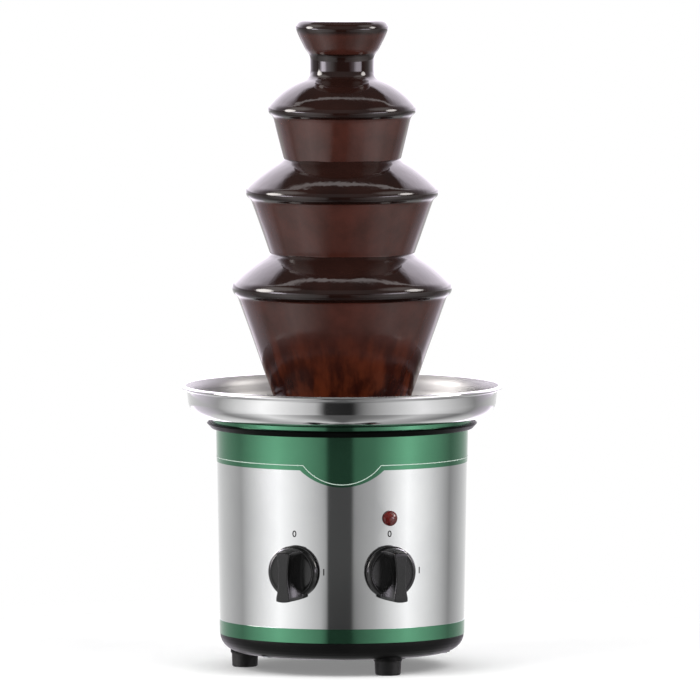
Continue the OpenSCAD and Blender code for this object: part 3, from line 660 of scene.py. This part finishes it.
def to_panel(azimuth, height):
    """Matrix from a control's own frame, X right, Y up, Z outward, to its place on the shell, in millimetres."""
    turn = Matrix.Rotation(math.radians(azimuth), 4, "Z") @ Matrix.Rotation(math.pi / 2, 4, "X")
    return Matrix.Translation((0, 0, height)) @ turn


def grip_half_width(y, rise):
    """Half the grip's width: hollowed flanks, wider to its two ends and to its root."""
    roller = WAIST_R - GRIP_FLARE * (1 - rise) ** 1.7
    return WAIST_R + GRIP_W / 2 - math.sqrt(roller * roller - y * y)


def knob(name, azimuth):
    """A moulded knob: a skirt with a fine raised ring, and a waisted grip with rounded edges."""
    bm = bmesh.new()
    bmesh.ops.create_cube(bm, size=2.0)
    bmesh.ops.subdivide_edges(bm, edges=bm.edges[:], cuts=11, use_grid_fill=True)
    root = KNOB_BACK + GRIP_ROOT
    for vert in bm.verts:
        u, v, w = vert.co
        rise = (w + 1) / 2
        y = -KNOB_R - GRIP_TAIL + (v + 1) / 2 * (2 * KNOB_R + GRIP_TAIL - 1.0)
        half = grip_half_width(max(-15.0, min(15.0, y)), rise)
        x = u * half
        top = math.sqrt((KNOB_R - 1.0) ** 2 - x * x) - GRIP_SLOPE * rise**2
        bottom = -KNOB_R - GRIP_TAIL + 0.5 * (x / 4) ** 2
        vert.co = (x, bottom + (v + 1) / 2 * (top - bottom), root + rise * (KNOB_FRONT - root))
    bmesh.ops.recalc_face_normals(bm, faces=bm.faces)
    sharp = [e for e in bm.edges if len(e.link_faces) == 2 and e.calc_face_angle() > math.radians(38)]
    bmesh.ops.bevel(
        bm, geom=sharp, offset=GRIP_EDGE, affect="EDGES", segments=4, profile=0.5, material=-1, clamp_overlap=True
    )
    line = [(9.8, 0.0), (16.0, 0.0), (16.2, 0.25), (16.2, 2.7), (16.0, 3.3), (15.3, 4.1), (14.5, 4.75),
            (14.1, 4.95), (13.7, 4.9), (13.2, 4.65), (12.0, 4.6), (0.0, 4.6)]
    corners = [bm.verts.new((r, 0, KNOB_BACK + z)) for r, z in even(line, 0.5, 0)]
    edges = [bm.edges.new(pair) for pair in zip(corners, corners[1:])]
    spin_round(bm, corners + edges, SKIRT_STEPS)
    bmesh.ops.remove_doubles(bm, verts=bm.verts, dist=0.0001)
    bmesh.ops.recalc_face_normals(bm, faces=bm.faces)
    for face in bm.faces:
        face.smooth = True
    bmesh.ops.transform(bm, matrix=Matrix.Scale(MM, 4) @ to_panel(azimuth, KNOB_Z), verts=bm.verts)
    return made_of(name, bm)


# ---- Studio ----


# Lamps: degrees from the camera's side, elevation, distance and size in metres, power.
LAMPS = {
    "lamp_left": (-48, 42, 1.6, 1.0, 13),
    "lamp_right": (48, 42, 1.6, 1.0, 13),
    "lamp_top": (0, 88, 1.5, 0.8, 5),
}
LAMP_AIM = (0, 0, 0.2)


def softbox(name, azimuth, elevation, distance, size, power):
    """A square lamp turned to the tower, out of the reflections, which the tent gives."""
    lamp = bpy.data.lights.new(name, "AREA")
    lamp.shape = "RECTANGLE"
    lamp.size, lamp.size_y, lamp.energy = size, size, power
    made = linked(name, lamp)
    target = Vector(LAMP_AIM)
    made.location = target + distance * towards(azimuth, elevation)
    made.rotation_euler = (target - made.location).to_track_quat("-Z", "Y").to_euler()
    made.visible_glossy = False
    return made


# The cards round the object, in rings: degrees from the camera's side, strength, and how lilac it is.
# The upright steel shows the low ring, the bowl's wall the one under it, the curtains and the bowl's
# corner the sheet and below rings, and the necks and domes the neck and high rings.
LOW_CARDS = [
    (-180, 0.97, 0), (-107, 0.43, 0), (-60, 1.42, 0), (-14.5, 0.47, 0), (-12.6, 0.08, 0), (8.5, 0.08, 0),
    (11.5, 0.36, 0), (30, 0.5, 0), (63, 1.42, 0), (118, 0.32, 0), (150, 0.7, 0), (180, 0.97, 0),
]
BOWL_CARDS = [
    (-180, 2.6, 1), (-162, 2.2, 1), (-146, 0.9, 1), (-107, 0.38, 0), (-62, 1.4, 0), (-20, 0.62, 0), (-13, 0.03, 0),
    (8, 0.02, 0), (16, 0.25, 0), (32, 0.58, 0), (63, 1.15, 0), (118, 0.3, 0), (146, 0.7, 1), (163, 1.7, 1),
    (180, 2.6, 1),
]
SHEET_CARDS = [
    (-180, 1.0, 0), (-135, 0.8, 0), (-110, 0.28, 0), (-92, 0.5, 0), (-66, 1.05, 0), (-42, 0.62, 0),
    (-20, 0.25, 0), (-12, 0.12, 0), (9, 0.12, 0), (18, 0.18, 0), (40, 0.35, 0), (65, 0.75, 0), (90, 0.45, 0),
    (112, 0.22, 0), (140, 0.7, 0), (180, 1.0, 0),
]
BELOW_CARDS = [
    (-180, 0.6, 0), (-122, 0.5, 0), (-70, 0.82, 0), (-40, 0.65, 0), (-22, 0.3, 0), (-8, 0.12, 0), (8, 0.12, 0),
    (24, 0.26, 0), (60, 0.6, 0), (90, 0.5, 0), (130, 0.42, 0), (180, 0.6, 0),
]
NECK_CARDS = [
    (-180, 2.0, 1), (-150, 1.2, 1), (-127, 0.45, 1), (-98, 0.2, 0), (-84, 1.0, 1), (-75, 11.0, 1), (-66, 9.0, 1),
    (-58, 2.4, 1), (-40, 1.0, 0), (-22, 0.3, 0), (-12, 0.06, 0), (25, 0.06, 0), (42, 1.3, 1), (54, 6.0, 1),
    (68, 6.0, 1), (77, 0.1, 0), (92, 0.2, 0), (112, 0.6, 0), (146, 2.0, 1), (180, 2.0, 1),
]
HIGH_CARDS = [
    (-180, 3.0, 1), (-138, 3.0, 1), (-116, 0.8, 1), (-95, 0.25, 0), (-50, 0.3, 0), (50, 0.3, 0), (95, 0.25, 0),
    (116, 0.8, 1), (138, 3.0, 1), (180, 3.0, 1),
]
# Soft lamps: degrees from the camera's side, elevation, angles of full light and of none, strength.
SPOTS = [(-90, 17, 7, 15, 16.0), (84, 20, 6, 13, 12.0), (-80, 40, 5, 24, 1.6), (72, 42, 5, 22, 1.2)]
TENT_RADIUS = 3.0
FLOOR_GLOW, WORLD_LIGHT = 0.22, 0.5


def card_colours(tree, turn, cards, top):
    """Colour of a ring of cards, by the share of a turn, brought under 1 by the top strength."""
    made = add(tree, "ValToRGB", {"Fac": turn})
    band = made.color_ramp
    for _ in cards[2:]:
        band.elements.new(0.5)
    for element, (degrees, strength, lilac) in zip(band.elements, cards):
        element.position = (degrees + 180) / 360
        level = strength / top
        element.color = (level, level * (1 - 0.07 * lilac), level * (1 + 0.04 * lilac), 1.0)
    scaled = add(tree, "VectorMath", {0: made.outputs["Color"], "Scale": top}, operation="SCALE")
    return scaled.outputs["Vector"]


def towards(azimuth, elevation):
    """Unit vector to a place round the object. Azimuth 0 is the camera's side."""
    a, e = math.radians(azimuth), math.radians(elevation)
    return Vector((math.sin(a) * math.cos(e), -math.cos(a) * math.cos(e), math.sin(e)))


def bare_material(name):
    """A material with its output only, and its nodes."""
    material = bpy.data.materials.new(name)
    material.use_nodes = True
    tree = material.node_tree
    tree.nodes.remove(tree.nodes["Principled BSDF"])
    return material, tree


def looked_at(tree):
    """A mask of the rays that show what they meet: to the camera, in gloss and through glass."""
    ray = add(tree, "LightPath")
    shown = add(
        tree, "Math", {0: ray.outputs["Is Camera Ray"], 1: ray.outputs["Is Glossy Ray"]}, operation="MAXIMUM"
    )
    return add(
        tree, "Math", {0: shown.outputs["Value"], 1: ray.outputs["Is Transmission Ray"]}, operation="MAXIMUM"
    ).outputs["Value"]


def studio_tent():
    """Round tent of light and dark cards that only the reflections see."""
    bm = bmesh.new()
    bmesh.ops.create_uvsphere(bm, u_segments=96, v_segments=48, radius=TENT_RADIUS)
    tent = made_of("studio_tent", bm)
    material, tree = bare_material("studio_cards")
    at = add(tree, "TexCoord")
    way = add(tree, "VectorMath", {0: at.outputs["Object"]}, operation="NORMALIZE").outputs["Vector"]
    parts = add(tree, "SeparateXYZ", {"Vector": way})
    forward = add(tree, "Math", {0: parts.outputs["Y"], 1: -1.0}, operation="MULTIPLY")
    angle = add(tree, "Math", {0: parts.outputs["X"], 1: forward.outputs["Value"]}, operation="ARCTAN2")
    turn = add(
        tree, "Math", {0: angle.outputs["Value"], 1: 1 / math.tau, 2: 0.5}, operation="MULTIPLY_ADD"
    ).outputs["Value"]
    rise = add(tree, "Math", {0: parts.outputs["Z"]}, operation="ARCSINE")
    tilt = add(tree, "Math", {0: rise.outputs["Value"]}, operation="DEGREES").outputs["Value"]
    colour = card_colours(tree, turn, BELOW_CARDS, 1.5)
    for cards, top, start, end in (
        (SHEET_CARDS, 2.0, -62.0, -48.0),
        (BOWL_CARDS, 2.6, -30.0, -24.0),
        (LOW_CARDS, 1.5, -7.5, -5.5),
        (NECK_CARDS, 12.0, -0.6, 1.2),
        (HIGH_CARDS, 4.0, 6.0, 12.0),
    ):
        colour = mix_colours(tree, step(tree, tilt, start, end), colour, card_colours(tree, turn, cards, top))
    colour = mix_colours(tree, step(tree, tilt, 47.0, 54.0), colour, (0.1, 0.1, 0.1, 1.0))
    for azimuth, elevation, full, none, strength in SPOTS:
        near = add(tree, "VectorMath", {0: way, 1: towards(azimuth, elevation)}, operation="DOT_PRODUCT")
        spot = step(tree, near.outputs["Value"], math.cos(math.radians(none)), math.cos(math.radians(full)))
        warm = (strength, 0.95 * strength, 0.92 * strength)
        light = add(tree, "VectorMath", {0: warm, "Scale": spot}, operation="SCALE")
        colour = add(tree, "VectorMath", {0: colour, 1: light.outputs["Vector"]}, operation="ADD").outputs["Vector"]
    # A narrow lamp that bows to the back overhead, and shows as a fine line on each rim.
    bow = add(tree, "Math", {0: parts.outputs["X"], 1: parts.outputs["X"]}, operation="MULTIPLY")
    off = add(tree, "Math", {0: bow.outputs["Value"], 1: -0.85, 2: parts.outputs["Y"]}, operation="MULTIPLY_ADD")
    away = add(tree, "Math", {0: off.outputs["Value"]}, operation="ABSOLUTE").outputs["Value"]
    narrow, overhead = step(tree, away, 0.05, 0.014), step(tree, parts.outputs["Z"], 0.6, 0.75)
    line = add(tree, "Math", {0: narrow, 1: overhead}, operation="MULTIPLY")
    light = add(tree, "VectorMath", {0: (2.0, 1.9, 1.9), "Scale": line.outputs["Value"]}, operation="SCALE")
    colour = add(tree, "VectorMath", {0: colour, 1: light.outputs["Vector"]}, operation="ADD").outputs["Vector"]
    glow = add(tree, "Emission", {"Color": colour})
    tree.links.new(glow.outputs["Emission"], tree.nodes["Material Output"].inputs["Surface"])
    dress(tent, material)
    tent.visible_camera = False
    tent.visible_diffuse = False
    tent.visible_shadow = False
    tent.visible_transmission = False
    tent.visible_volume_scatter = False
    return tent


def floor():
    """A pale floor that fades into the white around it."""
    bm = bmesh.new()
    bmesh.ops.create_circle(bm, cap_ends=True, segments=96, radius=0.6)
    ground = made_of("floor", bm)
    material, tree = bare_material("pale_floor")
    at = add(tree, "TexCoord")
    away = add(tree, "VectorMath", {0: at.outputs["Object"]}, operation="LENGTH")
    fade = add(
        tree,
        "MapRange",
        {"Value": away.outputs["Value"], "From Min": 0.16, "From Max": 0.5},
        interpolation_type="SMOOTHSTEP",
    )
    matte = add(tree, "BsdfDiffuse", {"Color": (0.8, 0.8, 0.8, 1)})
    lift = add(tree, "Math", {0: looked_at(tree), 1: FLOOR_GLOW}, operation="MULTIPLY")
    glow = add(tree, "Emission", {"Color": (1, 1, 1, 1), "Strength": lift.outputs["Value"]})
    lit = add(tree, "AddShader", {0: matte.outputs["BSDF"], 1: glow.outputs["Emission"]})
    clear = add(tree, "BsdfTransparent")
    both = add(
        tree, "MixShader", {0: fade.outputs["Result"], 1: lit.outputs["Shader"], 2: clear.outputs["BSDF"]}
    )
    tree.links.new(both.outputs["Shader"], tree.nodes["Material Output"].inputs["Surface"])
    dress(ground, material)
    ground.visible_glossy = False
    return ground


def white_world():
    """White behind the object and in what metal and glass show, and a softer level as light."""
    world = bpy.data.worlds.new("white_studio")
    bpy.context.scene.world = world
    world.use_nodes = True
    tree = world.node_tree
    back = tree.nodes["Background"]
    back.inputs["Color"].default_value = (1, 1, 1, 1)
    level = add(tree, "MapRange", {"Value": looked_at(tree), "To Min": WORLD_LIGHT, "To Max": 1.0})
    tree.links.new(level.outputs["Result"], back.inputs["Strength"])


CAMERA_AT, CAMERA_TO, LENS = (0.0049, -9.0, 0.87), (0.0049, 0, 0.196), 753.0


def camera():
    """A long lens from the front, a little above the bowl."""
    data = bpy.data.cameras.new("camera")
    data.sensor_width = 36.0
    data.lens = LENS
    data.clip_start, data.clip_end = 0.5, 40.0
    made = linked("camera", data)
    made.location = CAMERA_AT
    made.rotation_euler = (Vector(CAMERA_TO) - made.location).to_track_quat("-Z", "Y").to_euler()
    bpy.context.scene.camera = made


# ---- Making ----


def main():
    camera()
    white_world()
    floor()
    studio_tent()
    for name, setting in LAMPS.items():
        softbox(name, *setting)

    for name, obj in NODES.items():
        material = FINISHES.get(SLOT_OF.get(name))
        if material:
            dress(obj, material)

    falls = pour()
    stands_for = {
        "chocolate_top_fall": ("chocolate_crown", "chocolate_upper"),
        "chocolate_middle_fall": ("chocolate_middle",),
        "chocolate_lower_fall": ("chocolate_lower",),
        "chocolate_pool_surface": ("chocolate_pool",),
    }
    for name, piece in falls.items():
        dress(piece, FALLS.get(name, WET_CHOCOLATE))
        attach(piece, "base" if name == "chocolate_pool_surface" else "tower")
        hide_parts(*stands_for[name])

    stripe = pinstripe()
    dress(stripe, finish("stripe_ink", "c9dccf", "d6e6dc", (0.3, 0.4)))
    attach(stripe, "base")

    for side, azimuth in (("motor", -KNOB_AZ), ("heat", KNOB_AZ)):
        piece = knob(f"{side}_knob_moulding", azimuth)
        dress(piece, FINISHES["knob_plastic"])
        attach(piece, f"{side}_control")
        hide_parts(f"{side}_knob")

    bowl = pressed_bowl()
    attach(bowl, "base")
    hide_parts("bowl")

    ink = finish("black_ink", "141414", "1c1c1c", (0.35, 0.45))
    for side, azimuth, beside in (("motor", -KNOB_AZ, 14.0), ("heat", KNOB_AZ, 15.9)):
        for label, text, turn, height in (
            ("off", "0", azimuth, OFF_MARK_Z),
            ("on", "1", azimuth + beside, KNOB_Z),
        ):
            figure = mark(f"{side}_mark_{label}", text, turn, height, MARK_SIZE)
            dress(figure, ink)
            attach(figure, "base")

    bpy.context.scene.view_settings.view_transform = "Standard"


main()
